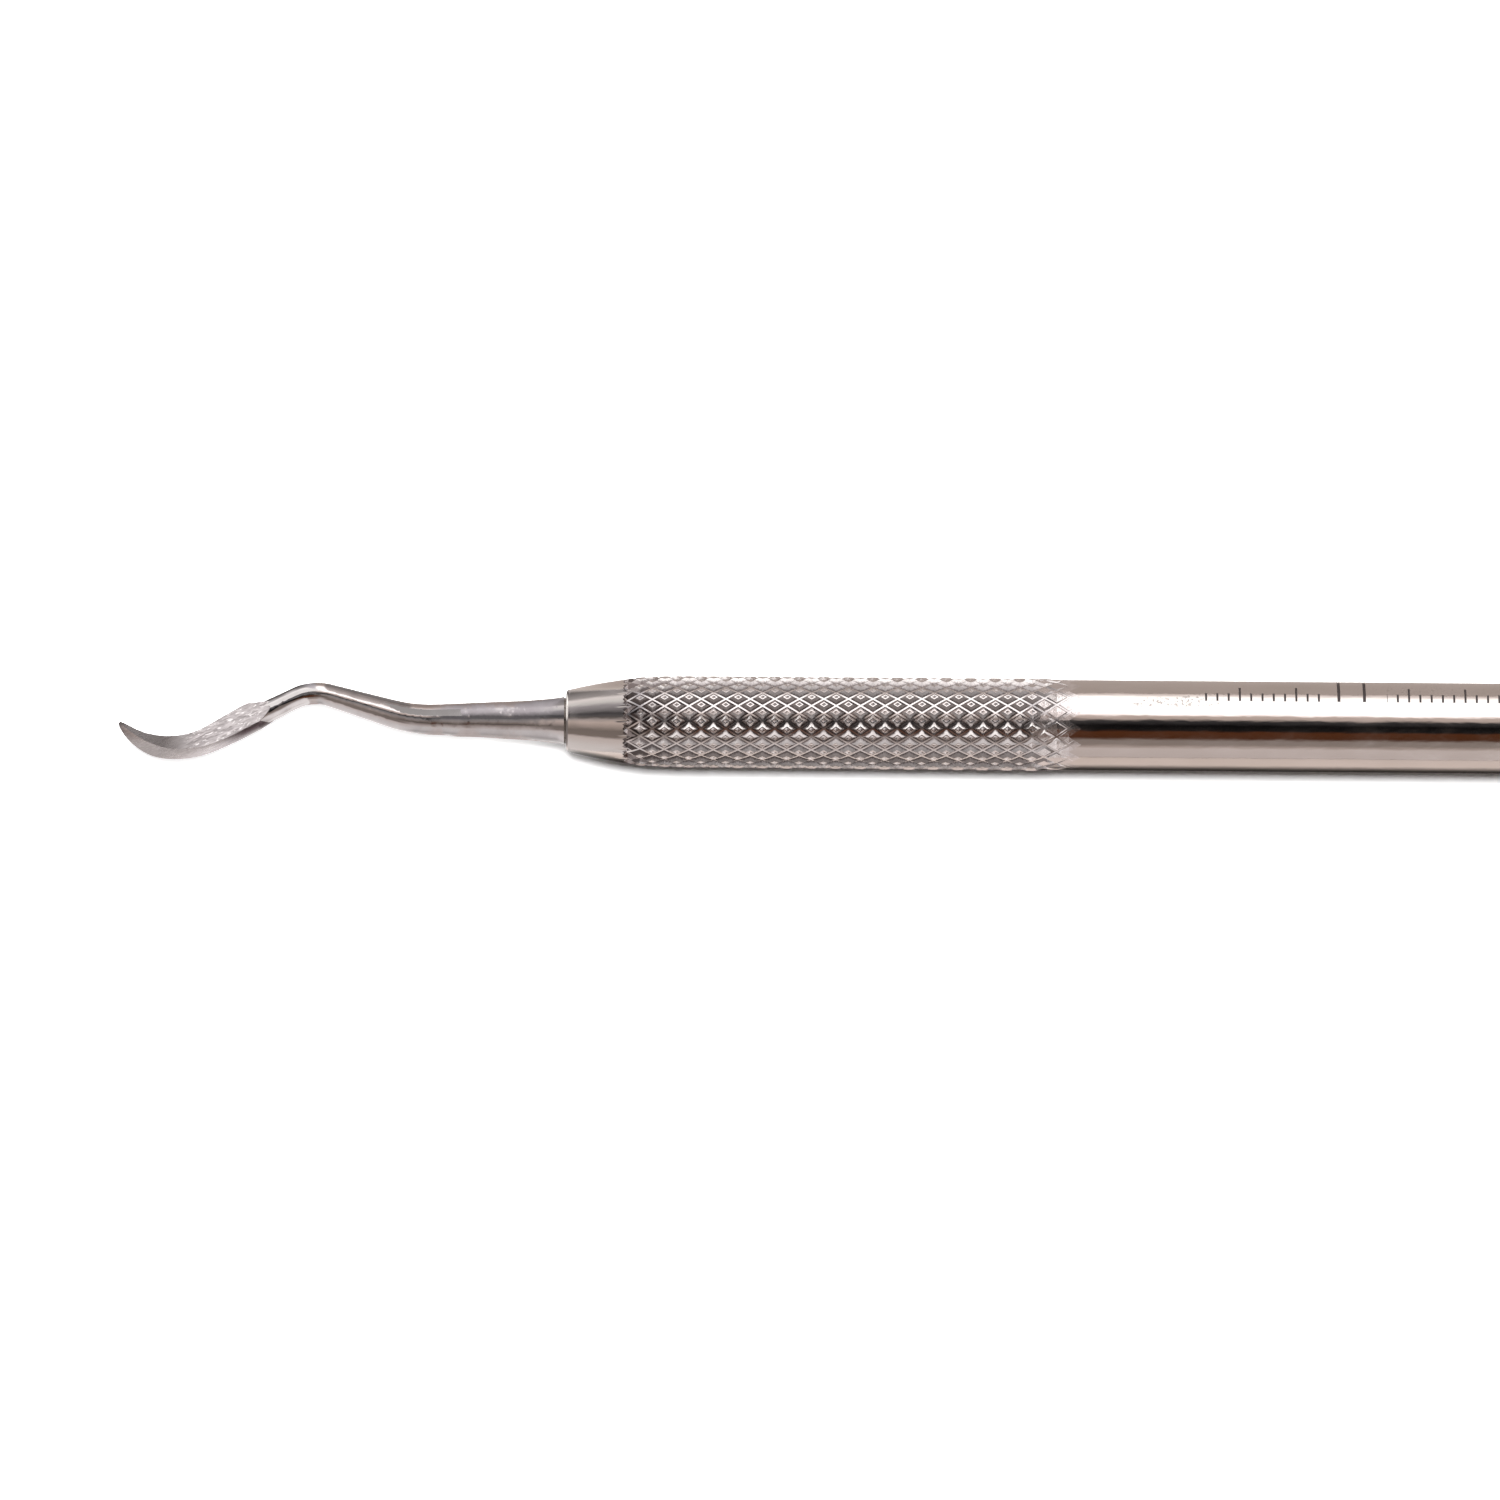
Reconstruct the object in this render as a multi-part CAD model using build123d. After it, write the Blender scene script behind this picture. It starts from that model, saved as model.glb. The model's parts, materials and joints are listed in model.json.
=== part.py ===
from build123d import *
import os

# Double-ended hand scaler for dental use.
# Lengths are in millimetres and angles in degrees.
# +X runs along the handle, the working ends bend in the XY plane, and +Z is square to that plane.
# The origin is the middle of the handle, on its axis.

# ---- handle: one solid round bar, narrowed at both noses, with two knurled grips ----
HANDLE_LENGTH = 112.0
HANDLE_RADIUS = 3.0          # plain middle length, between the two grips
LIP_ROUNDING = 0.2           # rounded edge of each nose's front face
# Outline of a nose: distance from its front face, and radius there.
NOSE_OUTLINE = [(0.0, 2.03), (0.95, 2.25), (2.3, 2.52), (3.6, 2.73), (5.2, 2.96), (8.5, 3.05)]
GRIP_RADIUS = 3.075          # raised crests that the knurling leaves on the bar
GRIP_END = 33.2              # distance from the nose face to the far end of the knurling
GRIP_RUN_OUT = 1.4           # length over which the crests fall back to the plain bar
SOCKET_RADIUS = 1.25         # blind hole in each nose that takes a working end's tang
SOCKET_DEPTH = 10.6
SOCKET_POINT = 0.75          # depth of the drill point at the bottom of the socket

# ---- working end: tang, flare, tapering shank with two bends, sickle blade ----
SEAM_GAP = 0.13              # gap between the flare and the nose face, filled by the braze ring
TANG_LENGTH = 10.0
TANG_CHAMFER = 0.3
# Centre line from the nose face to the tip: a straight (length), or a bend (radius, angle).
# Seen from above, a positive angle turns the front end's centre line towards -Y, a negative one towards +Y.
CENTRE_LINE = [
    ("straight", 8.9),
    ("bend", 10.0, -16.0),
    ("straight", 4.2),
    ("bend", 3.4, 43.0),
    ("straight", 5.9),
    ("bend", 6.0, -27.0),
    ("bend", 4.85, -50.0),
]
# Round shank: distance along the centre line, and radius there.
# Its end lies inside the blade, just behind the full shoulder.
SHANK_RADII = [
    (SEAM_GAP, 1.60), (0.9, 1.48), (1.7, 1.40), (3.0, 1.30), (4.4, 1.235), (6.2, 1.145), (8.4, 1.035),
    (9.7, 1.0), (11.2, 0.95), (13.0, 0.86), (14.5, 0.80), (16.0, 0.74), (17.5, 0.715), (18.8, 0.69),
    (19.7, 0.73), (21.28, 0.73),
]
SHANK_STRAIGHT_END = 8.4     # stations closer than this are used as they are
SHANK_STEP = 0.6             # spacing of the sections through the bends

# Blade sections are the same on both sides of the bend plane. Each station gives the distance along
# the centre line, the reach to the hollow edge, the reach to the back, the position of the ridge
# between side flat and back bevel, half the thickness at hollow edge, ridge and back, and how far
# the back bevel swells out. The first station lies inside the shank; the last is the full shoulder.
SHOULDER = [
    (19.6, 0.43, 0.58, -0.15, 0.45, 0.58, 0.20, 0.02),
    (20.4, 0.76, 0.735, -0.22, 0.485, 0.685, 0.18, 0.02),
    (21.3, 1.12, 0.855, -0.32, 0.23, 0.67, 0.16, 0.10),
]
BLADE = [
    SHOULDER[-1],
    (22.3, 1.11, 0.87, -0.34, 0.22, 0.63, 0.15, 0.10),
    (23.3, 1.06, 0.85, -0.34, 0.21, 0.59, 0.14, 0.08),
    (24.3, 1.00, 0.81, -0.27, 0.21, 0.54, 0.13, 0.06),
    (25.3, 0.93, 0.78, -0.18, 0.21, 0.48, 0.11, 0.04),
    (26.3, 0.86, 0.77, -0.11, 0.22, 0.42, 0.10, 0.03),
    (27.3, 0.80, 0.76, -0.06, 0.22, 0.36, 0.09, 0.02),
    (28.3, 0.71, 0.75, 0.02, 0.24, 0.31, 0.08, 0.015),
    (29.3, 0.57, 0.61, 0.08, 0.21, 0.25, 0.07, 0.01),
    (30.2, 0.43, 0.42, 0.09, 0.17, 0.19, 0.06, 0.008),
    (30.9, 0.28, 0.24, 0.06, 0.13, 0.13, 0.05, 0.005),
    (31.3, 0.10, 0.08, 0.02, 0.07, 0.06, 0.03, 0.002),
]
# A plane on each side is ground across the end of the round shank, down to the blade's side flat.
GROUND_FLAT_START = 19.5     # distance along the centre line, just ahead of the first contact
GROUND_FLAT_RISE = 0.30      # height of the plane there above its height at the full shoulder
GROUND_STOCK = 1.5           # half width, and top, of the stock that the grinding takes away

# ---- braze ring: the seal between flare and nose ----
BRAZE_RADIUS = 1.52

FULL_TURN = 360.0
HALF_TURN = 180.0


def turned(outline):
    """Solid made by turning a closed outline, given as (x, radius) edges, about the X axis."""
    face = make_face(outline)
    return revolve(face, axis=Axis.X, revolution_arc=FULL_TURN)


def handle_outer_edges(side):
    """Outer outline of half the handle, from its nose face to the middle; side is -1 or +1."""
    def at(distance, radius):
        return (side * (HANDLE_LENGTH / 2 - distance), radius)

    nose = [at(distance, radius) for distance, radius in NOSE_OUTLINE]
    first, second = NOSE_OUTLINE[:2]
    at_face = (-side * (second[0] - first[0]), second[1] - first[1])
    at_grip = (-side, 0)
    grip_end = at(GRIP_END, GRIP_RADIUS)
    plain_start = at(GRIP_END + GRIP_RUN_OUT, HANDLE_RADIUS)
    return [
        Spline(*nose, tangents=[at_face, at_grip]),
        Line(nose[-1], grip_end),
        Line(grip_end, plain_start),
        Line(plain_start, (0, HANDLE_RADIUS)),
        Line(at(0, 0), nose[0]),
    ]


def socket(side):
    """Drilled socket in one nose, as a solid to cut away; side is -1 or +1."""
    face_x = side * HANDLE_LENGTH / 2
    wall_end_x = face_x - side * SOCKET_DEPTH
    point_x = wall_end_x - side * SOCKET_POINT
    outline = Polyline(
        (face_x, 0), (face_x, SOCKET_RADIUS), (wall_end_x, SOCKET_RADIUS), (point_x, 0), close=True
    )
    return turned(outline)


def handle():
    outline = handle_outer_edges(-1) + handle_outer_edges(1)
    outline.append(Line((-HANDLE_LENGTH / 2, 0), (HANDLE_LENGTH / 2, 0)))
    bar = turned(outline)
    lips = bar.edges().filter_by(GeomType.CIRCLE).group_by(Axis.X)
    bar = fillet(list(lips[0]) + list(lips[-1]), LIP_ROUNDING)
    return bar - socket(-1) - socket(1)


def centre_line():
    """Centre line of the front working end, from the nose face to the tip."""
    point = Vector(-HANDLE_LENGTH / 2, 0, 0)
    direction = Vector(-1, 0, 0)
    pieces = []
    for kind, *numbers in CENTRE_LINE:
        if kind == "straight":
            piece = Line(point, point + direction * numbers[0])
        else:
            radius, angle = numbers
            piece = JernArc(point, direction, radius, angle)
        pieces.append(piece)
        point = piece @ 1
        direction = piece % 1
    return Wire([edge for piece in pieces for edge in piece.edges()])


def section_plane(line, distance):
    """Plane across the centre line; its own x points to the blade's hollow edge."""
    reach = min(distance, line.length)
    origin = line.position_at(reach, position_mode=PositionMode.LENGTH)
    along = line.tangent_at(reach, position_mode=PositionMode.LENGTH)
    return Plane(origin=origin + along * (distance - reach), x_dir=(along.Y, -along.X, 0), z_dir=along)


def shank_radius(distance):
    """Radius of the shank, read off the straight lines between its stations."""
    for (start, start_radius), (end, end_radius) in zip(SHANK_RADII, SHANK_RADII[1:]):
        if distance <= end:
            share = (distance - start) / (end - start)
            return start_radius + share * (end_radius - start_radius)
    return SHANK_RADII[-1][1]


def shank(line):
    stations = [distance for distance, _ in SHANK_RADII if distance <= SHANK_STRAIGHT_END]
    distance = SHANK_STRAIGHT_END + SHANK_STEP
    shank_end = SHANK_RADII[-1][0]
    while distance < shank_end - SHANK_STEP / 2:
        stations.append(distance)
        distance += SHANK_STEP
    stations.append(shank_end)
    return loft([section_plane(line, station) * Circle(shank_radius(station)) for station in stations])


def blade_section(line, station):
    distance, hollow, back, ridge, at_hollow, at_ridge, at_back, swell = station
    middle = ((ridge - back) / 2 - swell, (at_ridge + at_back) / 2 + swell)
    outline = [Line((hollow, -at_hollow), (hollow, at_hollow))]
    outline.append(Line((hollow, at_hollow), (ridge, at_ridge)))
    outline.append(ThreePointArc((ridge, at_ridge), middle, (-back, at_back)))
    outline.append(Line((-back, at_back), (-back, -at_back)))
    outline.append(ThreePointArc((-back, -at_back), (middle[0], -middle[1]), (ridge, -at_ridge)))
    outline.append(Line((ridge, -at_ridge), (hollow, -at_hollow)))
    return section_plane(line, distance) * make_face(outline)


def shoulder(line):
    return loft([blade_section(line, station) for station in SHOULDER], ruled=True)


def blade(line):
    return loft([blade_section(line, station) for station in BLADE])


def flat_height(station, reach):
    """Half thickness of the blade at a reach towards its hollow edge, on the line of its side flat."""
    _, hollow, _, ridge, at_hollow, at_ridge, _, _ = station
    slope = (at_ridge - at_hollow) / (ridge - hollow)
    return at_hollow + slope * (reach - hollow)


def ground_off(line, side):
    """Stock that grinding takes off one side of the shank's end; side is -1 or +1."""
    full_shoulder = SHOULDER[-1]
    faces = []
    for distance, rise in [(GROUND_FLAT_START, GROUND_FLAT_RISE), (full_shoulder[0], 0)]:
        low = side * (flat_height(full_shoulder, GROUND_STOCK) + rise)
        high = side * (flat_height(full_shoulder, -GROUND_STOCK) + rise)
        top = side * GROUND_STOCK
        outline = Polyline(
            (GROUND_STOCK, low), (GROUND_STOCK, top), (-GROUND_STOCK, top), (-GROUND_STOCK, high), close=True
        )
        faces.append(section_plane(line, distance) * make_face(outline))
    return loft(faces, ruled=True)


def tang():
    """Round tang, from the flare's end face to its chamfered end inside the socket."""
    start_x = -HANDLE_LENGTH / 2 - SEAM_GAP
    end_x = -HANDLE_LENGTH / 2 + TANG_LENGTH
    outline = Polyline(
        (start_x, 0), (start_x, SOCKET_RADIUS), (end_x - TANG_CHAMFER, SOCKET_RADIUS),
        (end_x, SOCKET_RADIUS - TANG_CHAMFER), (end_x, 0), close=True
    )
    return turned(outline)


def working_end():
    line = centre_line()
    stem = shank(line) + shoulder(line) - ground_off(line, -1) - ground_off(line, 1)
    return stem + blade(line) + tang()


def braze_ring():
    nose_face_x = -HANDLE_LENGTH / 2
    outline = Polyline(
        (nose_face_x, SOCKET_RADIUS), (nose_face_x, BRAZE_RADIUS),
        (nose_face_x - SEAM_GAP, BRAZE_RADIUS), (nose_face_x - SEAM_GAP, SOCKET_RADIUS), close=True
    )
    return turned(outline)


def main():
    to_rear = Rot(0, 0, HALF_TURN)
    front_end = working_end()
    front_ring = braze_ring()
    nodes = {
        "handle": handle(),
        "front_working_end": front_end,
        "rear_working_end": to_rear * front_end,
        "front_braze_ring": front_ring,
        "rear_braze_ring": to_rear * front_ring,
    }
    os.makedirs("parts", exist_ok=True)
    for name, solid in nodes.items():
        export_step(solid, f"parts/{name}.step")


main()
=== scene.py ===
import json
from math import atan2, cos, floor, pi, radians, sin, tau

import bmesh
import bpy
import numpy as np
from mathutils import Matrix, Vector

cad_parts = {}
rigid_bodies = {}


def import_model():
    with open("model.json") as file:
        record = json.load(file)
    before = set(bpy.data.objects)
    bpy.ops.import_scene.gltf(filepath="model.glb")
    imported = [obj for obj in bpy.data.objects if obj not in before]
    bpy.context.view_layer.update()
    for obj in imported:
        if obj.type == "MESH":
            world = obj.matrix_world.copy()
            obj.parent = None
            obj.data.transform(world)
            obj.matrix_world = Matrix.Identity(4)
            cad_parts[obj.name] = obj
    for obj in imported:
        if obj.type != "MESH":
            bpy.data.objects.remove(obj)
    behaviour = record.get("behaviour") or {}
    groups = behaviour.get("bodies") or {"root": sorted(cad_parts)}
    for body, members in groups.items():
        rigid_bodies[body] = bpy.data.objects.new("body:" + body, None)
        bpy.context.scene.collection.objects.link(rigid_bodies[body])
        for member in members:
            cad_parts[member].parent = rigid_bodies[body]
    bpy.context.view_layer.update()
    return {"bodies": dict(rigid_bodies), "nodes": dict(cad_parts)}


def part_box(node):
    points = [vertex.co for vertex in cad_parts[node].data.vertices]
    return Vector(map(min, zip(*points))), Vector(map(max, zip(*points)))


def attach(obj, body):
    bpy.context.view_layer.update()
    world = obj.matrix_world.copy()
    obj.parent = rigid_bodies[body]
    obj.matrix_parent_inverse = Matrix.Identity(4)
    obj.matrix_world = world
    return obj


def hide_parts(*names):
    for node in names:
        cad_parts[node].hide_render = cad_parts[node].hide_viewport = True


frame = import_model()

MM = 0.001
BODY = list(frame["bodies"])[0]
rng = np.random.default_rng(7)

# ---------------------------------------------------------------- sizes, in millimetres
HALF_LENGTH = 56.0            # handle's half length
NOSE_OUTLINE = [(0.0, 2.03), (0.95, 2.25), (2.3, 2.52), (3.6, 2.73), (5.2, 2.97), (8.5, 3.05)]
LIP_ROUNDING = 0.2
PLAIN_RADIUS = 3.0
PLAIN_HALF_LENGTH = 22.0
CREST_RADIUS = 3.075
SOCKET_RADIUS = 1.25
SOCKET_DEPTH = 10.6
SOCKET_POINT = 0.75
FACE_RING_RADIUS = 1.5        # an extra ring on the nose's flat face
RING_POINTS = 170
LIP_STEPS = 6
NOSE_RINGS = 30
PLAIN_RINGS = 24

# knurl: distances from the nose's front face
KNURL_STARTS = 17             # diamonds around the bar
DIAMOND_LENGTH = 1.63
KNURL_DEPTH = 0.24
FIRST_CROSSING = 4.12         # first ring of groove crossings
CROSSINGS = 36                # half steps from the first ring to the last
FADE_IN = (3.88, 3.93)        # grooves grow from nothing to full depth
FADE_OUT = (30.2, 33.85)      # and shrink again
CREST_FALL = (31.0, 33.4)
TWIST = 0.19                  # degrees per millimetre
GROOVE_FLOOR = 0.06           # half its width, as a share of the diamond
FLANK = 0.27                  # width of a slope at full depth, as a share of the diamond
LEAST_FLANK = 0.12            # its least width, as a share of the full one
SPEAR_FLANK = 0.45            # its width where the grooves start, as a share of the full one
RIM = 0.06
PIT_DEPTH = 0.04
BUMPS = (-0.006, 0.012)       # how far the top of a diamond may stand above and below the bar
BUMP_COLUMNS = 101
STITCH_GAP = 0.12             # between the knurl's grid and the nearest ring
FRONT_TURN = pi / KNURL_STARTS
REAR_TURN = radians(8.0)
GROOVE_SHADE_RADII = (2.83, 2.95)    # radius where the slopes' painted shade is darkest, and where it has gone

# etched marks: plain graduation ticks and two part rings, on the +Y side of the plain middle length
TICK_ROWS = [(-14.0, -5.8), (-1.4, 14.0)]
TICK_SPACING = 0.75
TICK_WIDTH = 0.14
TICK_BASE = radians(34)
TICK_TOP = radians(47)
TICK_LONG_EXTRA = radians(12)
MARK_RINGS = [-4.6, -2.9]
MARK_RING_WIDTH = 0.2
MARK_RING_TOP = radians(78)

# blade: where its side flat is ground into the shank, on the straight length behind the shoulder
FLAT_START = (-74.58, 1.10)   # point on the centre line, in the front end's place
FLAT_START_DISTANCE = 18.9    # its distance along the centre line
ALONG = (-0.891, -0.454, 0)
TO_HOLLOW = (-0.454, 0.891, 0)
SHOULDER_DISTANCE = 21.3
SHOULDER_HEIGHT = 0.572       # height of the side flat on the centre line, at the shoulder
FLAT_SLOPE = 0.1667           # its fall for each millimetre towards the tip, and towards the hollow edge
FLAT_LEAN = 0.3056
CUT_START = 19.4              # nothing before this distance is ground
CORNER_START = 19.95          # the flat's corner at the hollow edge: its distance and its reach
CORNER_REACH = 0.5
BEVEL_START = 20.5            # where the back bevel starts, at the back edge of the shank
BEVEL_SLANT = 1.25            # and how much later for each millimetre towards the hollow edge
BACK_EDGE = -0.73
RIDGE_REACH = -0.2            # the ridge between side flat and bevel, at the shoulder
COARSE_END = (-82.2, -80.2)   # where the coarse grinding gives way to the fine
BEVEL_SHADE_END = (25.0, 22.0)  # distance where the bevel's painted shade has gone, and where it is full
BEVEL_SHADE_REACH = (-1.0, -0.55)

# ---------------------------------------------------------------- metal colours
# A pair is the darkest and the lightest shade of one metal.
POLISHED = ((0.62, 0.585, 0.555, 1), (0.66, 0.625, 0.60, 1))
SCUFFED = (0.3, 0.27, 0.25, 1)
ETCHED = (0.12, 0.11, 0.11, 1)
SLOPES = ((0.66, 0.63, 0.62, 1), (0.78, 0.75, 0.74, 1))
# painted shade on the knurl's slopes, darkest towards the bottom of the grooves
GROOVE_PAINTED_SHADE = (0.27, 0.24, 0.235, 1)
RIMS = ((0.66, 0.635, 0.625, 1), (0.76, 0.735, 0.725, 1))
SATIN = ((0.58, 0.555, 0.55, 1), (0.66, 0.64, 0.635, 1))
FINE_BEVEL = ((0.52, 0.49, 0.49, 1), (0.64, 0.61, 0.61, 1))
# painted shade: the side flats' copy of the fine-ground steel, darker than the bevel's to stand in for the
# darker light the flats reflect
FINE_FLAT_SHADED = ((0.27, 0.25, 0.25, 1), (0.34, 0.32, 0.32, 1))
COARSE_FLAT = ((0.42, 0.39, 0.395, 1), (0.62, 0.585, 0.59, 1))
FLECK = (0.95, 0.92, 0.92, 1)
# painted shade: a painted reflection of the dark floor on the back bevel near the shoulder
BEVEL_PAINTED_SHADE = (0.10, 0.075, 0.08, 1)
BRAZE = ((0.13, 0.115, 0.105, 1), (0.30, 0.275, 0.25, 1))

# ---------------------------------------------------------------- light, as radiance
# Strips of light round the X axis: each one's angle from straight up towards +Y, brightness and tint.
# One set is seen straight overhead. The others take over where a direction leans along X: the shank's and
# the nose's where it leans to the front, the neck's to the back, the side's either way.
# Most of the brightnesses were worked out from readings taken across the tool in the photo, and rounded.
WHITE = (1.0, 0.98, 0.97)
PALE = (1.0, 0.94, 0.94)
COOL = (1.0, 0.94, 0.99)
WARM = (1.0, 0.88, 0.85)
TAN = (1.0, 0.83, 0.76)
BROWN = (1.0, 0.33, 0.13)
BRIGHTEST = 2.2
DIFFUSE_SHARE = 0.25          # how much of the surroundings falls on the floor
SHANK_LEAN = (0.04, 0.10)     # the lean where a set starts, and where it is full
NOSE_LEAN = (0.15, 0.25)
NECK_LEAN = (0.06, 0.10)
SIDE_LEAN = (0.40, 0.62)
STRIPS_OVERHEAD = [
    (-180, 0.60, WARM), (-62, 0.74, WARM), (-56, 0.52, TAN), (-50, 0.34, TAN), (-39, 0.32, TAN),
    (-32, 0.09, BROWN), (-17, 0.11, BROWN), (-12, 0.01, COOL), (0, 0.005, COOL), (5, 0.025, COOL),
    (12, 0.05, COOL), (17, 0.66, TAN), (24, 0.76, TAN), (29, 2.10, PALE), (76, 2.10, WHITE),
    (86, 1.00, WARM), (100, 0.60, TAN), (114, 0.44, TAN), (180, 0.44, TAN),
]
STRIPS_SHANK = [
    (-180, 1.40, WHITE), (-150, 1.20, WHITE), (-130, 0.72, PALE), (-110, 0.53, PALE), (-88, 0.71, PALE),
    (-66, 0.74, PALE), (-50, 0.61, WARM), (-36, 0.34, TAN), (-27, 0.14, TAN), (-19, 0.27, TAN),
    (-9, 0.38, WARM), (2, 0.30, PALE), (10, 0.17, COOL), (26, 0.18, COOL), (40, 0.48, COOL),
    (54, 0.75, COOL), (72, 0.82, COOL), (92, 0.64, COOL), (114, 0.52, COOL), (136, 0.38, COOL),
    (156, 0.31, COOL), (180, 0.31, COOL),
]
STRIPS_NOSE = [
    (-180, 1.10, PALE), (-120, 0.92, PALE), (-90, 0.86, PALE), (-58, 0.74, WARM), (-50, 0.28, TAN),
    (-30, 0.25, TAN), (-20, 0.44, TAN), (-4, 0.68, TAN), (5, 0.50, WARM), (12, 0.14, WARM),
    (18, 0.12, COOL), (24, 0.08, COOL), (32, 0.24, COOL), (50, 0.46, COOL), (60, 0.85, WHITE),
    (76, 1.10, PALE), (86, 0.48, PALE), (112, 0.28, PALE), (136, 0.13, WARM), (156, 0.28, PALE),
    (180, 0.34, COOL),
]
STRIPS_NECK = [
    (-180, 1.40, WHITE), (-140, 1.18, WHITE), (-60, 1.10, PALE), (-42, 0.98, PALE), (-32, 0.42, TAN),
    (-20, 0.26, TAN), (-8, 0.24, TAN), (2, 0.06, TAN), (10, 0.30, WARM), (20, 0.76, WARM),
    (50, 0.74, WARM), (68, 0.55, WARM), (86, 0.36, WARM), (108, 0.25, WARM), (140, 0.32, PALE),
    (180, 0.48, PALE),
]
STRIPS_SIDE = [
    (-180, 0.50, PALE), (-150, 0.28, WARM), (-112, 0.22, WARM), (-90, 0.30, WARM), (-70, 0.32, PALE),
    (-48, 0.24, WARM), (-18, 0.28, WARM), (8, 0.38, PALE), (32, 0.66, PALE), (53, 1.05, PALE),
    (72, 1.55, WHITE), (90, 2.05, WHITE), (110, 1.75, WHITE), (132, 1.20, WHITE), (160, 1.00, WHITE),
    (180, 0.82, PALE),
]

# two small cards by the front working end, which only polished metal sees: each one's middle, the way from
# its middle to two of its edges, in millimetres, and its glow
BLADE_CARD = ((-84.6, 16.6, 16.8), (9.0, 7.5, 0.0), (4.0, -6.5, 9.5), 1.3)
BEND_CARD = ((-65.4, 5.9, 4.6), (1.6, 0.0, 0.0), (0.0, 2.2, -2.8), 0.48)
CARD_COLOUR = (1.0, 0.97, 0.96, 1)

# floor, in metres; a range says where something starts and where it is full
FLOOR_HALF_SIZE = 3.0
FLOOR_COLOUR = (0.9, 0.9, 0.9, 1)
# painted shade: the floor's colour in the metal, darker than the camera sees it
FLOOR_IN_METAL = (0.40, 0.345, 0.32, 1)
BLACK = (0.0, 0.0, 0.0, 1)
LOWER_PAINTED_SHADOW = (-0.0045, -0.011)  # painted shadow on the floor, seen only in the metal: where the floor brightens out of it on the tool's -Y and +Y sides
LOWER_PAINTED_SHADOW_LIGHT = (0.05, 1.0)
UPPER_PAINTED_SHADOW = (0.0, 0.004)
UPPER_PAINTED_SHADOW_LIGHT = (0.0, 0.62)
GLOW_RANGE = (0.052, 0.062)
END_GLOW = 0.75               # the floor's own light under the working ends, which hides their shadows
CLEAR_RANGE = (0.0555, 0.0575)  # beyond this, reflections go through the floor to the strips below

# lamp and camera
LAMP_WIDTH = 0.32
LAMP_POWER = 21.0
LAMP_LEAN = radians(11.0)
LAMP_TARGET = (-0.04, 0.0, 0.0)
CAMERA_PLACE = (-0.04373, -0.00185, 0.9)
CAMERA_ROLL = radians(0.48)
PICTURE_WIDTH = 0.1           # at the tool's axis
SENSOR_WIDTH = 36.0


def smooth(value, low, high):
    share = min(max((value - low) / (high - low), 0.0), 1.0)
    return share * share * (3 - 2 * share)


def nose_radius(distance):
    """Radius at a distance from the nose face: a monotone curve through the outline's points."""
    xs = [p[0] for p in NOSE_OUTLINE]
    rs = [p[1] for p in NOSE_OUTLINE]
    slopes = [(rs[k + 1] - rs[k]) / (xs[k + 1] - xs[k]) for k in range(len(xs) - 1)]
    grads = [slopes[0]]
    for before, after in zip(slopes, slopes[1:]):
        grads.append(2 * before * after / (before + after))
    grads.append(0.0)
    k = max(i for i in range(len(xs) - 1) if distance >= xs[i] or i == 0)
    h = xs[k + 1] - xs[k]
    t = (distance - xs[k]) / h
    return (
        rs[k] * (1 + 2 * t) * (1 - t) ** 2 + grads[k] * h * t * (1 - t) ** 2
        + rs[k + 1] * t * t * (3 - 2 * t) + grads[k + 1] * h * t * t * (t - 1)
    )


def outer_radius(distance):
    """Radius of the bar over the knurl's crests, at a distance from the nose face."""
    end = NOSE_OUTLINE[-1][0]
    if distance < end:
        return nose_radius(distance)
    if distance < CREST_FALL[0]:
        share = (distance - end) / (CREST_FALL[0] - end)
        return NOSE_OUTLINE[-1][1] + share * (CREST_RADIUS - NOSE_OUTLINE[-1][1])
    return CREST_RADIUS + (PLAIN_RADIUS - CREST_RADIUS) * smooth(distance, *CREST_FALL)


def run_out(distance):
    """Share of their full depth that the grooves keep towards the plain middle."""
    return 1 - smooth(distance, *FADE_OUT)


def knurl_share(distance):
    """How deep the grooves are at a distance from the nose face, from 0 to 1."""
    return smooth(distance, *FADE_IN) * run_out(distance)


POLISHED_SLOT, SLOPE_SLOT, GROOVE_SLOT = 0, 1, 2
MARKS = 7                      # grid lines across one diamond
MIDDLE = 3                     # the mark at a diamond's middle


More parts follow.
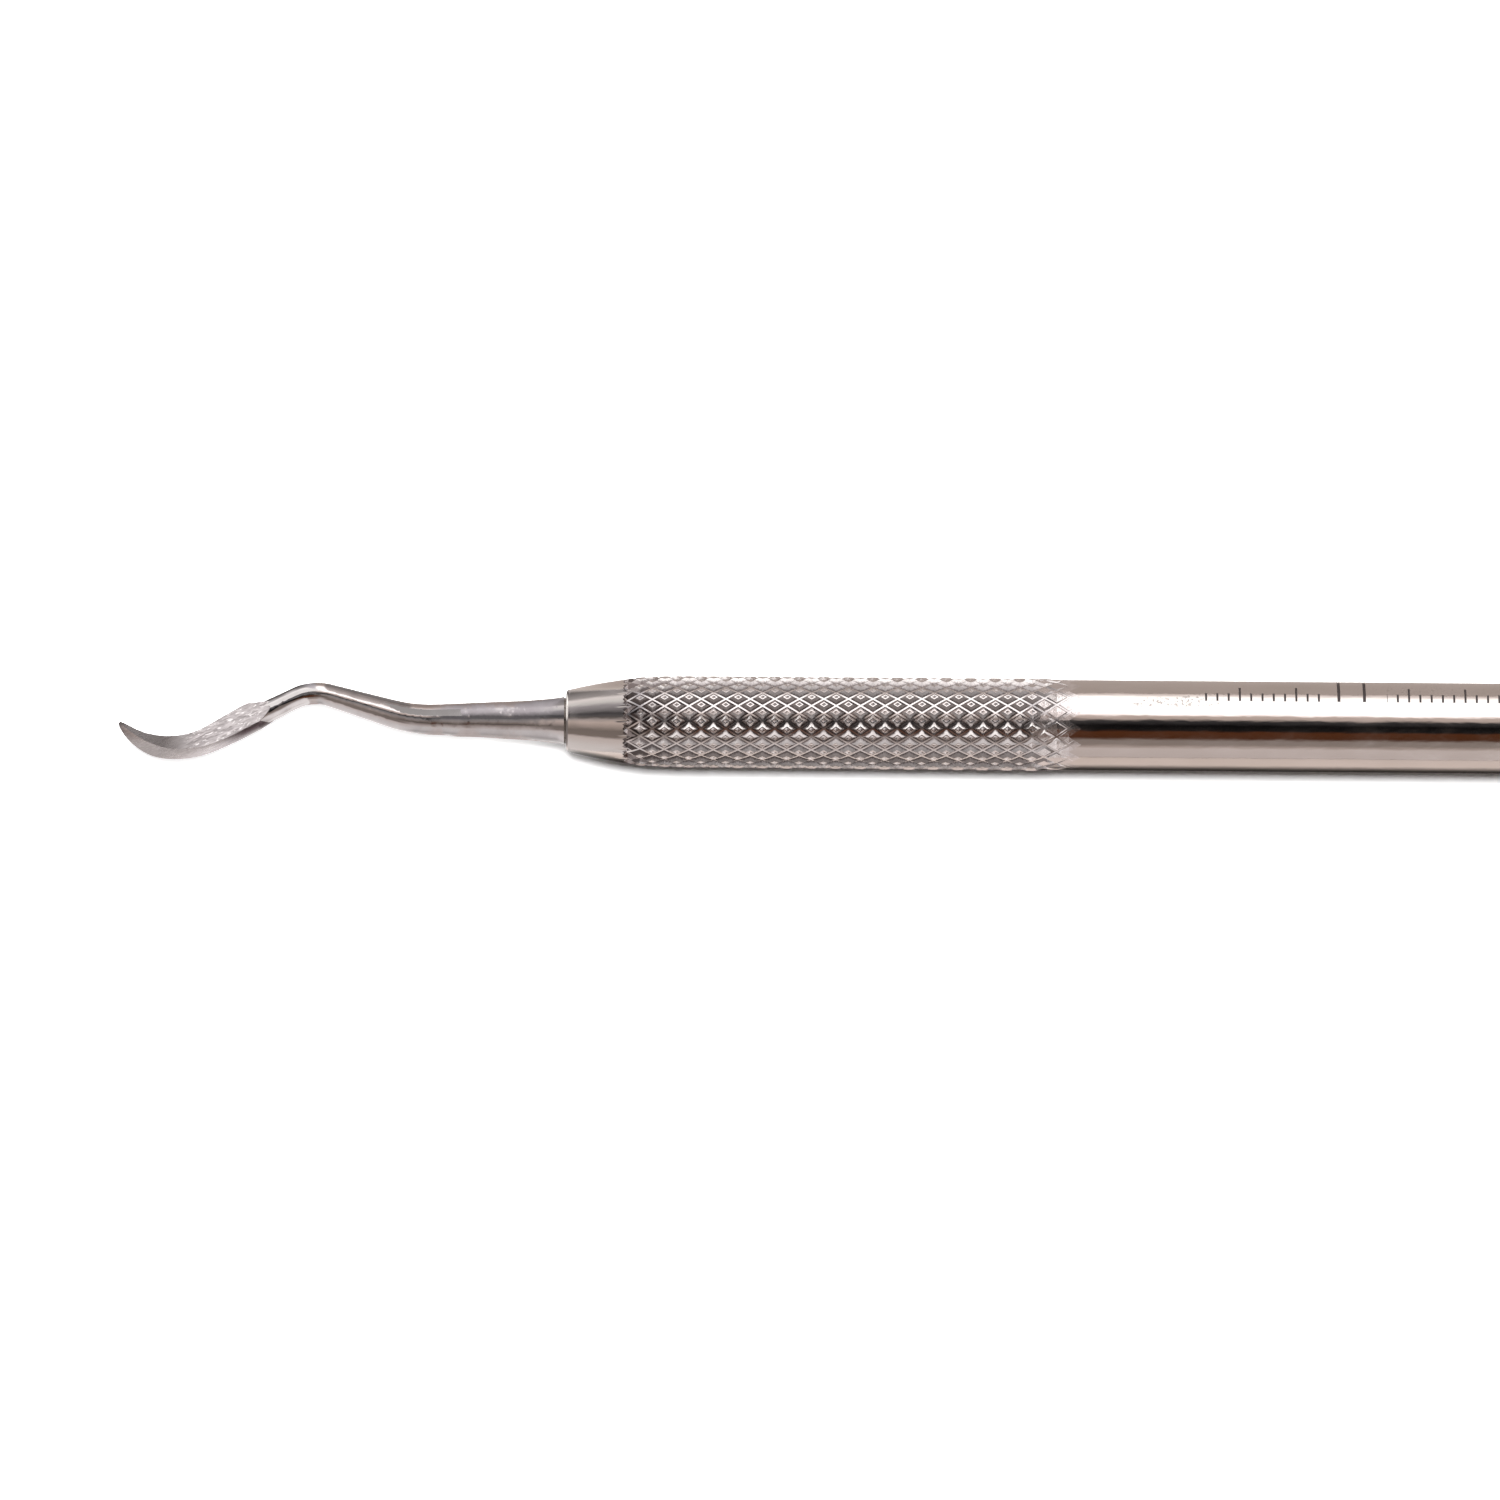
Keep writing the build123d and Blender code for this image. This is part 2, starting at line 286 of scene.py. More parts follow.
class Skin:
    """Points and faces of one closed mesh, in millimetres."""

    def __init__(self):
        self.points = []
        self.faces = []
        self.slots = []
        self.flats = []
        self.depths = []

    def point(self, x, radius, angle, depth=0.0):
        """One point, and how deep the knurl's grooves are there."""
        self.points.append((x, radius * sin(angle), radius * cos(angle)))
        self.depths.append(depth)
        return len(self.points) - 1

    def face(self, corners, slot=POLISHED_SLOT, flat=False):
        """One face, with its material slot; a flat face isn't shaded smoothly into its neighbours."""
        self.faces.append(corners)
        self.slots.append(slot)
        self.flats.append(flat)

    def ring(self, x, radius):
        return [self.point(x, radius, tau * k / RING_POINTS) for k in range(RING_POINTS)]

    def bridge(self, first, second):
        for k in range(RING_POINTS):
            after = (k + 1) % RING_POINTS
            self.face((first[k], second[k], second[after], first[after]))

    def angle_of(self, index):
        _, y, z = self.points[index]
        return atan2(y, z) % tau

    def stitch(self, ring, chain):
        """Triangles between a ring and a closed chain whose angles also rise all the way round."""
        start = min(range(len(chain)), key=lambda k: self.angle_of(chain[k]))
        chain = chain[start:] + chain[:start]
        a_angles = [self.angle_of(p) for p in ring] + [self.angle_of(ring[0]) + tau]
        b_angles = [self.angle_of(p) for p in chain] + [self.angle_of(chain[0]) + tau]
        ring = ring + [ring[0]]
        chain = chain + [chain[0]]
        a = b = 0
        while a < len(ring) - 1 or b < len(chain) - 1:
            step_a = b == len(chain) - 1 or (a < len(ring) - 1 and a_angles[a + 1] <= b_angles[b + 1])
            if step_a:
                self.face((ring[a], chain[b], ring[a + 1]))
                a += 1
            else:
                self.face((ring[a], chain[b], chain[b + 1]))
                b += 1


def mark_places(share):
    """Where a diamond's grid lines lie across it, from 0 to 1, by the share of full width of its slopes."""
    groove = GROOVE_FLOOR
    rim_out = groove + FLANK * max(share, LEAST_FLANK)
    rim_in = rim_out + RIM
    return [groove, rim_out, rim_in, 0.5, 1 - rim_in, 1 - rim_out, 1 - groove]


def knurl_point(skin, i, j, turn, bumps):
    """One point of the knurl's grid, counted in marks along the two sets of grooves."""
    cell_p, mark_p = divmod(i, MARKS)
    cell_q, mark_q = divmod(j, MARKS)
    diamond_middle = FIRST_CROSSING + (cell_p - cell_q) / 2 * DIAMOND_LENGTH
    diamond_share = run_out(diamond_middle)
    before_knurl = diamond_middle < FIRST_CROSSING - DIAMOND_LENGTH / 4
    places = mark_places(SPEAR_FLANK if before_knurl else diamond_share)
    p = cell_p + places[mark_p]
    q = cell_q + places[mark_q]
    distance = FIRST_CROSSING + (p - q) / 2 * DIAMOND_LENGTH
    angle = tau / KNURL_STARTS * (p + q) / 2 + radians(TWIST * (distance - FIRST_CROSSING)) + turn
    ring = min(mark_p, mark_q, MARKS - 1 - mark_p, MARKS - 1 - mark_q)
    share = knurl_share(distance)
    if ring == 0:
        drop = KNURL_DEPTH * share
    elif before_knurl:
        drop = 0.0
    else:
        drop = bumps[cell_p % KNURL_STARTS, (cell_p - cell_q) % bumps.shape[1]] * share
    if ring == MIDDLE and not before_knurl:
        drop += PIT_DEPTH * smooth(diamond_share, 0.75, 1.0) * share
    return skin.point(distance - HALF_LENGTH, outer_radius(distance) - drop, angle, share)


def knurl_slot(i, j):
    """Material slot of the face between marks i, j and the next ones: floors and rims, or slopes."""
    a, b = i % MARKS, j % MARKS
    if MARKS - 1 in (a, b):
        return GROOVE_SLOT
    ring = min(a, b, MARKS - 2 - a, MARKS - 2 - b)
    return GROOVE_SLOT if ring == 1 else SLOPE_SLOT


def knurl_faces(skin, i, j, corners):
    """The faces between four neighbouring points, split along the diamond's edges and corners."""
    one, two, three, four = corners
    flat = any(skin.depths[k] > 0 for k in corners)
    slot = knurl_slot(i, j) if flat else POLISHED_SLOT
    in_groove = MARKS - 1 in (i % MARKS, j % MARKS)
    same_half = (i % MARKS < MIDDLE) == (j % MARKS < MIDDLE)
    if in_groove:
        skin.face(corners, slot, flat)
    elif same_half:
        skin.face((one, two, three), slot, flat)
        skin.face((one, three, four), slot, flat)
    else:
        skin.face((one, two, four), slot, flat)
        skin.face((two, three, four), slot, flat)


def knurl(skin, turn):
    """The grid of the front grip. Returns its zigzag edges on the nose side and on the plain side."""
    around = KNURL_STARTS * MARKS
    bumps = rng.uniform(*BUMPS, (KNURL_STARTS, BUMP_COLUMNS))
    index = {}

    def at(i, j):
        wraps = floor(i / around)
        key = (i - wraps * around, j - wraps * around)
        if key not in index:
            index[key] = knurl_point(skin, key[0], key[1], turn, bumps)
        return index[key]

    def corner(cell):
        return (cell - 1) * MARKS + MIDDLE

    for steps in range(CROSSINGS + 1):
        for cell_p in range(KNURL_STARTS):
            cell_q = cell_p - steps
            for i in range(corner(cell_p), corner(cell_p + 1)):
                for j in range(corner(cell_q), corner(cell_q + 1)):
                    knurl_faces(skin, i, j, (at(i, j), at(i + 1, j), at(i + 1, j + 1), at(i, j + 1)))
    low, high = [], []
    for cell_p in range(KNURL_STARTS):
        i0, j0 = corner(cell_p), corner(cell_p)
        low += [at(i0, j0 + k) for k in range(MARKS)]
        low += [at(i0 + k, j0 + MARKS) for k in range(MARKS)]
        i1, j1 = corner(cell_p), corner(cell_p - CROSSINGS)
        high += [at(i1 + k, j1) for k in range(MARKS)]
        high += [at(i1 + MARKS, j1 + k) for k in range(MARKS)]
    return low, high


def half_handle(skin, turn):
    """Front half of the handle, from the bottom of its socket round the nose to the middle."""
    face = -HALF_LENGTH
    point = skin.point(face + SOCKET_DEPTH + SOCKET_POINT, 0.0, 0.0)
    rows = [(SOCKET_DEPTH, SOCKET_RADIUS), (0.0, SOCKET_RADIUS), (0.0, FACE_RING_RADIUS)]
    lip_radius = outer_radius(LIP_ROUNDING) - LIP_ROUNDING
    for k in range(LIP_STEPS + 1):
        bend = pi / 2 * k / LIP_STEPS
        rows.append((LIP_ROUNDING * (1 - cos(bend)), lip_radius + LIP_ROUNDING * sin(bend)))
    patch_start = FIRST_CROSSING - DIAMOND_LENGTH / 2 - STITCH_GAP
    rows += [(d, outer_radius(d)) for d in np.linspace(LIP_ROUNDING + 0.1, patch_start, NOSE_RINGS)]
    rings = [skin.ring(face + d, r) for d, r in rows]
    for k in range(RING_POINTS):
        skin.face((point, rings[0][k], rings[0][(k + 1) % RING_POINTS]))
    for first, second in zip(rings, rings[1:]):
        skin.bridge(first, second)
    low, high = knurl(skin, turn)
    skin.stitch(rings[-1], low)
    patch_end = FIRST_CROSSING + (CROSSINGS + 1) * DIAMOND_LENGTH / 2 + STITCH_GAP
    rows = [(d, outer_radius(d)) for d in np.linspace(patch_end, HALF_LENGTH, PLAIN_RINGS)]
    rings = [skin.ring(face + d, r) for d, r in rows]
    skin.stitch(rings[0], high)
    for first, second in zip(rings, rings[1:]):
        skin.bridge(first, second)


def mesh_object(name, skin, materials):
    mesh = bpy.data.meshes.new(name)
    mesh.from_pydata([tuple(c * MM for c in p) for p in skin.points], [], skin.faces)
    mesh.polygons.foreach_set("material_index", skin.slots)
    mesh.polygons.foreach_set("use_smooth", [not flat for flat in skin.flats])
    for material in materials:
        mesh.materials.append(material)
    obj = bpy.data.objects.new(name, mesh)
    bpy.context.collection.objects.link(obj)
    return obj


def handle_skin():
    """Both halves of the handle; the rear one is turned half a turn about Z."""
    front, rear = Skin(), Skin()
    half_handle(front, FRONT_TURN)
    half_handle(rear, REAR_TURN)
    whole = Skin()
    whole.points = front.points + [(-x, -y, z) for x, y, z in rear.points]
    shift = len(front.points)
    whole.faces = list(front.faces) + [tuple(c + shift for c in f) for f in rear.faces]
    whole.slots = front.slots + rear.slots
    whole.flats = front.flats + rear.flats
    return whole


def build_handle(materials):
    """The handle's visible mesh: smooth, but for edges beside the knurl's flat faces."""
    obj = mesh_object("handle_knurled", handle_skin(), materials)
    work = bmesh.new()
    work.from_mesh(obj.data)
    touching = 1e-6
    middle = [v for v in work.verts if abs(v.co.x) < touching]
    bmesh.ops.remove_doubles(work, verts=middle, dist=touching)
    bmesh.ops.recalc_face_normals(work, faces=work.faces)
    for edge in work.edges:
        edge.smooth = all(face.smooth for face in edge.link_faces)
    work.to_mesh(obj.data)
    work.free()
    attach(obj, BODY)
    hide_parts("handle")


# ---------------------------------------------------------------- materials
class Graph:
    """A node tree with short calls for the nodes used here."""

    def __init__(self, tree):
        self.nodes = tree.nodes
        self.links = tree.links

    def put(self, socket, value):
        if hasattr(value, "links"):
            self.links.new(value, socket)
        else:
            socket.default_value = value

    def node(self, kind, inputs=None, **settings):
        made = self.nodes.new(kind)
        for name, value in settings.items():
            setattr(made, name, value)
        for key, value in (inputs or {}).items():
            self.put(made.inputs[key], value)
        return made

    def math(self, operation, a, b=0.0):
        return self.node("ShaderNodeMath", {0: a, 1: b}, operation=operation).outputs[0]

    def product(self, *values):
        result = values[0]
        for value in values[1:]:
            result = self.math("MULTIPLY", result, value)
        return result

    def rise(self, value, low, high, start=0.0, end=1.0):
        """Smooth step of a value from start to end between low and high."""
        return self.node(
            "ShaderNodeMapRange",
            {"Value": value, "From Min": low, "From Max": high, "To Min": start, "To Max": end},
            interpolation_type="SMOOTHSTEP",
        ).outputs[0]

    def times(self, first, second):
        return self.node("ShaderNodeVectorMath", {0: first, 1: second}, operation="MULTIPLY").outputs[0]

    def dot(self, vector, direction):
        made = self.node("ShaderNodeVectorMath", {0: vector, 1: direction}, operation="DOT_PRODUCT")
        return made.outputs["Value"]

    def stretch(self, vector, scale, turn=0.0):
        return self.node(
            "ShaderNodeMapping", {"Vector": vector, "Rotation": (0, 0, turn), "Scale": scale}
        ).outputs[0]

    def noise(self, vector, scale=1.0, detail=2.0):
        made = self.node("ShaderNodeTexNoise", {"Vector": vector, "Scale": scale, "Detail": detail})
        return made.outputs[0]

    def vary(self, value, low, high, colours):
        """From the first colour to the second as a value goes from low to high."""
        return self.blend(self.rise(value, low, high), *colours)

    def blend(self, share, first, second):
        made = self.node("ShaderNodeMix", {"Factor": share, "A": first, "B": second}, data_type="RGBA")
        return made.outputs["Result"]

    def bump(self, height, size, normal=None):
        """Bump from a height of 0 to 1; size is its full height in metres."""
        made = self.node("ShaderNodeBump", {"Height": height, "Distance": size, "Strength": 1.0})
        if normal is not None:
            self.links.new(normal, made.inputs["Normal"])
        return made.outputs[0]


def metal(name):
    """A metal material, its graph, its shader and its place in millimetres."""
    material = bpy.data.materials.new(name)
    material.use_nodes = True
    graph = Graph(material.node_tree)
    shader = graph.nodes["Principled BSDF"]
    shader.inputs["Metallic"].default_value = 1.0
    coords = graph.node("ShaderNodeTexCoord").outputs["Object"]
    place = graph.stretch(coords, (1000, 1000, 1000))
    return material, graph, shader, place


def split(graph, vector):
    made = graph.node("ShaderNodeSeparateXYZ", {0: vector})
    return made.outputs


def tick_marks(graph, place):
    """Mask of the etched marks: a row of plain graduation ticks, and two rings round part of the bar."""
    x, y, z = split(graph, place)
    turn = graph.math("ARCTAN2", y, z)
    rows = None
    for start, end in TICK_ROWS:
        inside = graph.product(graph.math("GREATER_THAN", x, start), graph.math("LESS_THAN", x, end))
        rows = inside if rows is None else graph.math("ADD", rows, inside)
    phase = graph.math("FRACT", graph.math("DIVIDE", x, TICK_SPACING))
    tick = graph.math("LESS_THAN", phase, TICK_WIDTH / TICK_SPACING)
    long_phase = graph.math("FRACT", graph.math("DIVIDE", x, 5 * TICK_SPACING))
    is_long = graph.math("LESS_THAN", long_phase, 0.2)
    top = graph.math("MULTIPLY_ADD", is_long, TICK_LONG_EXTRA)
    graph.put(top.node.inputs[2], TICK_TOP)
    above = graph.math("GREATER_THAN", turn, TICK_BASE)
    across = graph.product(above, graph.math("LESS_THAN", turn, top))
    ticks = graph.product(rows, tick, across)
    rings = None
    for ring_x in MARK_RINGS:
        off = graph.math("ABSOLUTE", graph.math("SUBTRACT", x, ring_x))
        ring = graph.math("LESS_THAN", off, MARK_RING_WIDTH / 2)
        rings = ring if rings is None else graph.math("ADD", rings, ring)
    part = graph.product(above, graph.math("LESS_THAN", turn, MARK_RING_TOP))
    return graph.math("MAXIMUM", ticks, graph.product(rings, part))


def polished_steel():
    """The bare bar: polished, with faint hairs and waves, a scuffed patch beside the knurl, and the marks."""
    material, graph, shader, place = metal("polished_steel")
    x, y, z = split(graph, place)
    turn = graph.math("ARCTAN2", y, z)
    haze = graph.noise(graph.stretch(place, (0.25, 0.6, 0.6)), 1.0, 3.0)
    specks = graph.noise(place, 5.5, 4.0)
    worn = graph.noise(graph.stretch(place, (0.12, 0.5, 0.5)), 1.0, 2.0)
    plain_part = graph.rise(graph.math("ABSOLUTE", x), PLAIN_HALF_LENGTH, PLAIN_HALF_LENGTH - 1.5)
    upper_side = graph.product(graph.rise(turn, 0.1, 0.35), graph.rise(turn, 1.3, 0.9))
    scuff_zone = graph.product(graph.rise(worn, 0.55, 0.68), upper_side)
    scuffs = graph.product(scuff_zone, graph.rise(specks, 0.56, 0.66), plain_part)
    marks = tick_marks(graph, place)
    mottle = graph.math("MULTIPLY", graph.rise(haze, 0.35, 0.65), 0.05)
    rough = graph.math("ADD", mottle, 0.05)
    rough = graph.math("ADD", rough, graph.math("MULTIPLY", scuffs, 0.2))
    graph.put(shader.inputs["Roughness"], graph.math("ADD", rough, graph.math("MULTIPLY", marks, 0.4)))
    tint = graph.vary(haze, 0.3, 0.7, POLISHED)
    tint = graph.blend(graph.math("MULTIPLY", scuffs, 0.4), tint, SCUFFED)
    graph.put(shader.inputs["Base Color"], graph.blend(marks, tint, ETCHED))
    wave = graph.noise(graph.stretch(place, (0.5, 1.4, 1.4)), 1.0, 2.0)
    hairs = graph.noise(graph.stretch(place, (2.0, 14.0, 14.0), 0.5), 1.0, 3.0)
    normal = graph.bump(wave, 0.000012)
    normal = graph.bump(hairs, 0.0000008, normal)
    graph.put(shader.inputs["Normal"], graph.bump(scuffs, 0.000004, normal))
    return material


def knurled_steel():
    """Slopes of the knurl's diamonds, with painted shade darkening them towards the bottom of the grooves."""
    material, graph, shader, place = metal("knurled_steel")
    _, y, z = split(graph, place)
    radius = graph.math("SQRT", graph.math("ADD", graph.product(y, y), graph.product(z, z)))
    grain = graph.noise(place, 9.0, 4.0)
    cloud = graph.noise(place, 0.8, 3.0)
    graph.put(shader.inputs["Roughness"], graph.rise(grain, 0.3, 0.7, 0.10, 0.22))
    unshaded = graph.vary(cloud, 0.35, 0.65, SLOPES)
    uneven = graph.math("ADD", radius, graph.rise(grain, 0.3, 0.7, -0.03, 0.03))
    # painted shade: the slopes darken towards the bottom of the grooves
    tint = graph.blend(graph.rise(uneven, *GROOVE_SHADE_RADII), GROOVE_PAINTED_SHADE, unshaded)
    graph.put(shader.inputs["Base Color"], tint)
    graph.put(shader.inputs["Normal"], graph.bump(grain, 0.000004))
    return material


def groove_steel():
    """Flats of the knurl: the floors of the grooves, and the rims round the pits in the diamonds."""
    material, graph, shader, place = metal("groove_steel")
    cloud = graph.noise(place, 1.5, 3.0)
    graph.put(shader.inputs["Roughness"], graph.rise(cloud, 0.3, 0.7, 0.14, 0.20))
    graph.put(shader.inputs["Base Color"], graph.vary(cloud, 0.35, 0.65, RIMS))
    graph.put(shader.inputs["Normal"], graph.bump(graph.noise(place, 7.0, 3.0), 0.0000015))
    return material


def blade_places(graph, place):
    """The place and the normal, with the rear end's turned to the front end, and where the place lies.

    That is its distance along the straight length behind the shoulder, and its reach to the hollow edge.
    """
    x = split(graph, place)[0]
    to_front = graph.math("MULTIPLY", graph.math("SIGN", x), -1.0)
    mirror = graph.node("ShaderNodeCombineXYZ", {0: to_front, 1: to_front, 2: 1.0}).outputs[0]
    front = graph.times(place, mirror)
    normal = graph.times(graph.node("ShaderNodeNewGeometry").outputs["Normal"], mirror)
    from_start = graph.node(
        "ShaderNodeVectorMath", {0: front, 1: (*FLAT_START, 0)}, operation="SUBTRACT"
    ).outputs[0]
    distance = graph.math("ADD", graph.dot(from_start, ALONG), FLAT_START_DISTANCE)
    reach = graph.dot(from_start, TO_HOLLOW)
    return front, normal, distance, reach


def ground_masks(graph, front, normal, distance, reach):
    """Masks of the ground blade, of its side flats, of the coarse part of them and of its back bevel."""
    height = graph.math("ABSOLUTE", split(graph, front)[2])
    before = graph.math("MAXIMUM", graph.math("SUBTRACT", SHOULDER_DISTANCE, distance), 0.0)
    plane = graph.math("ADD", graph.math("MULTIPLY", before, FLAT_SLOPE), SHOULDER_HEIGHT)
    plane = graph.math("SUBTRACT", plane, graph.math("MULTIPLY", reach, FLAT_LEAN))
    above = graph.math("SUBTRACT", height, plane)
    past_start = graph.math("GREATER_THAN", distance, CUT_START)
    cut_flat = graph.product(graph.rise(above, -0.016, -0.004), past_start)
    past_corner = graph.math("GREATER_THAN", distance, CORNER_START)
    at_corner = graph.product(graph.math("GREATER_THAN", reach, CORNER_REACH), past_corner)
    cut_flat = graph.math("MAXIMUM", cut_flat, graph.product(at_corner, graph.rise(above, -0.10, -0.07)))
    delay = graph.math("MULTIPLY", graph.math("SUBTRACT", reach, BACK_EDGE), BEVEL_SLANT)
    bevel_line = graph.math("SUBTRACT", distance, delay)
    behind_ridge = graph.math("LESS_THAN", reach, RIDGE_REACH)
    on_bevel = graph.product(graph.rise(bevel_line, BEVEL_START, BEVEL_START + 0.1), behind_ridge)
    on_blade = graph.rise(distance, SHOULDER_DISTANCE - 0.2, SHOULDER_DISTANCE - 0.1)
    ground = graph.math("MAXIMUM", graph.math("MAXIMUM", cut_flat, on_bevel), on_blade)
    to_hollow = graph.dot(normal, TO_HOLLOW)
    facing = graph.math("ABSOLUTE", split(graph, normal)[2])
    front_x = split(graph, front)[0]
    side_flat = graph.product(ground, graph.rise(to_hollow, 0.02, 0.12), graph.rise(facing, 0.88, 0.92))
    coarse = graph.product(side_flat, graph.rise(front_x, *COARSE_END))
    bevel = graph.product(ground, graph.rise(to_hollow, -0.02, -0.12))
    return ground, side_flat, coarse, bevel


def end_steel():
    """Polished shank, fine-ground blade tip, and coarse-ground flats near the blade's shoulder; painted shade
    darkens the fine-ground side flats and the back bevel near the shoulder.
    """
    material, graph, shader, place = metal("end_steel")
    front, normal, distance, reach = blade_places(graph, place)
    ground, side_flat, coarse, bevel = ground_masks(graph, front, normal, distance, reach)
    along = graph.stretch(front, (1, 1, 1), radians(-24))
    streaks = graph.noise(graph.stretch(along, (1.5, 5.5, 4.0)), 1.0, 2.0)
    flecks = graph.rise(graph.noise(graph.stretch(along, (2.2, 6.5, 5.0)), 1.0, 3.0), 0.56, 0.66)
    fine = graph.noise(graph.stretch(along, (0.8, 16.0, 16.0)), 1.0, 3.0)
    hairs = graph.noise(graph.stretch(front, (0.5, 14.0, 14.0)), 1.0, 2.0)
    cloud = graph.noise(front, 0.7, 3.0)
    rough = graph.rise(cloud, 0.3, 0.7, 0.05, 0.09)
    rough = graph.math("ADD", rough, graph.math("MULTIPLY", ground, 0.20))
    graph.put(shader.inputs["Roughness"], graph.math("ADD", rough, graph.math("MULTIPLY", coarse, 0.10)))
    fine_bevel = graph.vary(fine, 0.35, 0.65, FINE_BEVEL)
    # painted shade on the fine-ground side flats
    fine_flat_shaded = graph.vary(fine, 0.35, 0.65, FINE_FLAT_SHADED)
    fine_ground = graph.blend(side_flat, fine_bevel, fine_flat_shaded)
    coarse_ground = graph.blend(flecks, graph.vary(streaks, 0.35, 0.65, COARSE_FLAT), FLECK)
    tint = graph.blend(ground, graph.vary(cloud, 0.3, 0.7, SATIN), fine_ground)
    tint = graph.blend(coarse, tint, coarse_ground)
    # painted shade on the back bevel near the shoulder, standing in for the dark floor it reflects
    near_shoulder = graph.rise(distance, *BEVEL_SHADE_END)
    bevel_shade = graph.product(bevel, near_shoulder, graph.rise(reach, *BEVEL_SHADE_REACH))
    graph.put(shader.inputs["Base Color"], graph.blend(bevel_shade, tint, BEVEL_PAINTED_SHADE))
    matt = graph.math("ADD", graph.math("MULTIPLY", coarse, 0.10), graph.math("MULTIPLY", bevel, 0.20))
    graph.put(shader.inputs["Metallic"], graph.math("SUBTRACT", 1.0, matt))
    relief = graph.bump(graph.product(fine, ground), 0.000002)
    relief = graph.bump(hairs, 0.0000006, relief)
    graph.put(shader.inputs["Normal"], graph.bump(graph.product(streaks, coarse), 0.00006, relief))
    return material


def braze_metal():
    """Dull, slightly lumpy braze in the seams."""
    material, graph, shader, place = metal("braze_metal")
    lumps = graph.noise(place, 3.0, 4.0)
    graph.put(shader.inputs["Roughness"], graph.rise(lumps, 0.3, 0.7, 0.25, 0.5))
    graph.put(shader.inputs["Base Color"], graph.vary(lumps, 0.35, 0.65, BRAZE))
    graph.put(shader.inputs["Normal"], graph.bump(lumps, 0.00003))
    return material


# ---------------------------------------------------------------- stage
CORNER_SIGNS = [(-1, -1), (1, -1), (1, 1), (-1, 1)]


def stage_sheet(name, corners, material):
    """One flat four-cornered object of the stage."""
    mesh = bpy.data.meshes.new(name)
    mesh.from_pydata(corners, [], [(0, 1, 2, 3)])
    mesh.materials.append(material)
    obj = bpy.data.objects.new(name, mesh)
    bpy.context.collection.objects.link(obj)
    return obj


def floor_white():
    """White floor for the camera; in reflections it is darker, with a painted shadow beside the tool, and
    clear beyond the handle's ends.
    """
    material = bpy.data.materials.new("floor_white")
    material.use_nodes = True
    graph = Graph(material.node_tree)
    shader = graph.nodes["Principled BSDF"]
    shader.inputs["Roughness"].default_value = 0.9
    shader.inputs["Specular IOR Level"].default_value = 0.0
    coords = graph.node("ShaderNodeTexCoord").outputs["Object"]
    x, y, _ = split(graph, coords)
    # painted shadow beside the tool, seen only in reflections
    lower_side = graph.rise(y, *LOWER_PAINTED_SHADOW, *LOWER_PAINTED_SHADOW_LIGHT)
    upper_side = graph.rise(y, *UPPER_PAINTED_SHADOW, *UPPER_PAINTED_SHADOW_LIGHT)
    mirrored = graph.blend(graph.math("MAXIMUM", lower_side, upper_side), BLACK, FLOOR_IN_METAL)
    is_reflection = graph.node("ShaderNodeLightPath").outputs["Is Glossy Ray"]
    graph.put(shader.inputs["Base Color"], graph.blend(is_reflection, FLOOR_COLOUR, mirrored))
    off_middle = graph.math("ABSOLUTE", x)
    shader.inputs["Emission Color"].default_value = (1, 1, 1, 1)
    graph.put(shader.inputs["Emission Strength"], graph.rise(off_middle, *GLOW_RANGE, 0.0, END_GLOW))
    unseen = graph.product(is_reflection, graph.rise(off_middle, *CLEAR_RANGE))
    clear = graph.node("ShaderNodeBsdfTransparent").outputs[0]
    mixed = graph.node("ShaderNodeMixShader", {0: unseen, 1: shader.outputs[0], 2: clear})
    graph.put(graph.nodes["Material Output"].inputs["Surface"], mixed.outputs[0])
    return material


def build_floor():
    """The floor, at the height of the handle's lowest point."""
    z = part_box("handle")[0][2]
    corners = [(a * FLOOR_HALF_SIZE, b * FLOOR_HALF_SIZE, z) for a, b in CORNER_SIGNS]
    stage_sheet("floor", corners, floor_white())


def card_light(name, strength):
    """An even glow, a little stronger and weaker from place to place."""
    material = bpy.data.materials.new(name)
    material.use_nodes = True
    graph = Graph(material.node_tree)
    coords = graph.node("ShaderNodeTexCoord").outputs["Object"]
    cloud = graph.noise(graph.stretch(coords, (40, 40, 40)), 1.0, 1.0)
    uneven = graph.rise(cloud, 0.2, 0.8, strength * 0.85, strength * 1.15)
    glow = graph.node("ShaderNodeEmission", {"Color": CARD_COLOUR, "Strength": uneven})
    graph.put(graph.nodes["Material Output"].inputs["Surface"], glow.outputs[0])
    return material


def build_card(name, middle, across, up, strength):
    """A small lit card that only polished metal sees."""
    corners = [MM * (Vector(middle) + a * Vector(across) + b * Vector(up)) for a, b in CORNER_SIGNS]
    obj = stage_sheet(name, corners, card_light(name + "_light", strength))
    for kind in ("camera", "diffuse", "shadow", "transmission"):
        setattr(obj, "visible_" + kind, False)


def strip_ramp(graph, share, strips):
    """The colours of one set of strips, at a share of the whole turn."""
    ramp = graph.node("ShaderNodeValToRGB", {0: share})
    elements = ramp.color_ramp.elements
    while len(elements) > 1:
        elements.remove(elements[-1])
    for k, (degree, brightness, tint) in enumerate(strips):
        place = (degree + 180) / 360
        element = elements[0] if k == 0 else elements.new(place)
        element.position = place
        element.color = (*[brightness / BRIGHTEST * part for part in tint], 1)
    return ramp.outputs["Color"]


